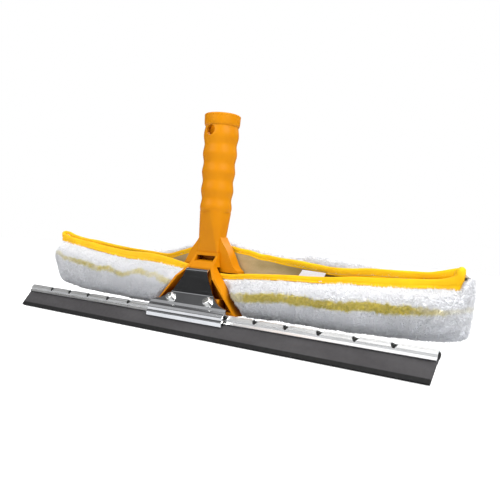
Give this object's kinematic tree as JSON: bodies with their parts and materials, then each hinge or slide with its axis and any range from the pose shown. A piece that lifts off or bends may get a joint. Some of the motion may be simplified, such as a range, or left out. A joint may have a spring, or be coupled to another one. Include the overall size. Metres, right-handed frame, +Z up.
{
  "type": "window squeegee",
  "caption": "Window squeegee and washer on one pole-socket handle: a clamped channel with a rubber blade in front of a T-bar in a pile sleeve.",
  "frame": {"origin": "middle of the footprint at the height of the rubber blade's edge", "axes": "+X along the blade, to the right seen from the squeegee side; +Y from the squeegee to the washer sleeve; +Z up the handle's axis, out of the pole socket"},
  "size_m": [0.47, 0.0588, 0.1953],
  "materials": {
    "handle_plastic": "fine satin mould texture",
    "bar_metal": "satin",
    "bar_plastic": "satin",
    "screw_steel": "bright zinc",
    "jaw_steel": "polished",
    "jaw_polished": "mirror polished",
    "channel_metal": "bright rolled",
    "blade_rubber": "matt",
    "pile_fabric": "white pile with a yellow-green stripe",
    "lining_fabric": "woven backing",
    "binding_fabric": "folded woven tape",
    "label_fabric": "satin ribbon"
  },
  "bodies": {
    "handle": {"handle_body": "handle_plastic", "t_bar_tube": "bar_metal", "t_bar_cap_left": "bar_plastic", "t_bar_cap_right": "bar_plastic", "t_bar_screw_left": "screw_steel", "t_bar_screw_right": "screw_steel", "rear_jaw": "jaw_steel", "jaw_nut_left": "screw_steel", "jaw_nut_right": "screw_steel"},
    "front_clamp": {"front_jaw": "jaw_polished", "jaw_washer_left": "screw_steel", "jaw_washer_right": "screw_steel"},
    "clamp_screw_left": {"jaw_screw_left": "screw_steel"},
    "clamp_screw_right": {"jaw_screw_right": "screw_steel"},
    "channel": {"squeegee_channel": "channel_metal"},
    "rubber": {"rubber_blade": "blade_rubber"},
    "sleeve": {"sleeve_pile_front": "pile_fabric", "sleeve_pile_back": "pile_fabric", "sleeve_pile_base": "pile_fabric", "sleeve_lining": "lining_fabric", "sleeve_binding": "binding_fabric", "care_label": "label_fabric"}
  },
  "joints": [
    {"name": "jaw_release", "type": "slide", "parent": "handle", "child": "front_clamp", "axis": [0, -0.8141, 0.5807], "range_m": [0, 0.002]},
    {"name": "screw_left_turn", "type": "hinge", "parent": "front_clamp", "child": "clamp_screw_left", "pos_m": [-0.022, -0.01627, 0.03045], "axis": [0, -0.8141, 0.5807], "range_deg": [0, 1030]},
    {"name": "screw_right_turn", "type": "hinge", "parent": "front_clamp", "child": "clamp_screw_right", "pos_m": [0.022, -0.01627, 0.03045], "axis": [0, -0.8141, 0.5807], "range_deg": [0, 1030]},
    {"name": "channel_slide", "type": "slide", "parent": "handle", "child": "channel", "axis": [1, 0, 0], "range_m": [-0.1815, 0.1865]},
    {"name": "rubber_slide", "type": "slide", "parent": "channel", "child": "rubber", "axis": [1, 0, 0], "range_m": [-0.457, 0.457]},
    {"name": "sleeve_pull_off", "type": "slide", "parent": "handle", "child": "sleeve", "axis": [0, 0, -1], "range_m": [0, 0.06]}
  ],
  "couplings": [
    {"joint": "screw_left_turn", "follows": "jaw_release", "rad_per_m": 8976},
    {"joint": "screw_right_turn", "follows": "jaw_release", "rad_per_m": 8976}
  ]
}
